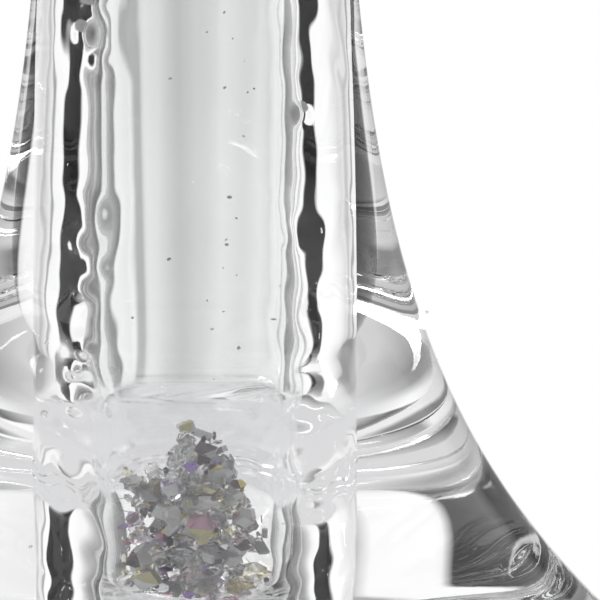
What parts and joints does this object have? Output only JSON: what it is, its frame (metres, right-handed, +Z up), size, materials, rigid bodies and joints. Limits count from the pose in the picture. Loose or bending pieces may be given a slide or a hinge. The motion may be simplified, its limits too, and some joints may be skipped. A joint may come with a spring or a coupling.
{
  "type": "icicle hanging ornament",
  "caption": "Clear glass icicle with a flared glass bell turning on its neck, sparkling chips inside, metal cap, eye, ring and hanging hook.",
  "frame": {"origin": "inside top of the hook's upper crook, where a twig or peg carries the ornament", "axes": "+Z up along the hanging icicle's axis; the hook lies in the XZ plane with its open end towards -X; +X and +Y level"},
  "size_m": [0.0479, 0.0488, 0.2141],
  "materials": {
    "hook_wire": "polished nickel wire",
    "ring_wire": "polished nickel wire",
    "eye_wire": "polished nickel",
    "cap_metal": "spun sheet metal, nickel plated, slightly worn on its ridges",
    "washer": "milky soft plastic",
    "stopper": "clear cast resin plug",
    "stem_glass": "clear drawn glass, fire polished",
    "seat_silicone": "clear silicone",
    "bell_glass": "thick clear glass with an uneven bore and a few seeds",
    "chips": "iridescent ice and glitter chips, pink, gold, violet and smoke"
  },
  "bodies": {
    "hook": {"hanging_hook": "hook_wire"},
    "ring": {"top_ring": "ring_wire"},
    "icicle": {"screw_eye": "eye_wire", "crown_cap": "cap_metal", "cap_washer": "washer", "neck_stopper": "stopper", "icicle_stem": "stem_glass", "seat_collar": "seat_silicone", "ice_chips": "chips"},
    "bell": {"ice_bell": "bell_glass"}
  },
  "joints": [
    {"name": "ring_swing", "type": "hinge", "parent": "hook", "child": "ring", "pos_m": [0, 0, -0.0277], "axis": [1, 0, 0], "range_deg": [-60, 60]},
    {"name": "icicle_swing", "type": "hinge", "parent": "ring", "child": "icicle", "pos_m": [0, 0, -0.03525], "axis": [0, 1, 0], "range_deg": [-45, 45]},
    {"name": "bell_turn", "type": "hinge", "parent": "icicle", "child": "bell", "pos_m": [0, 0, -0.09705], "axis": [0, 0, 1], "continuous": true}
  ]
}
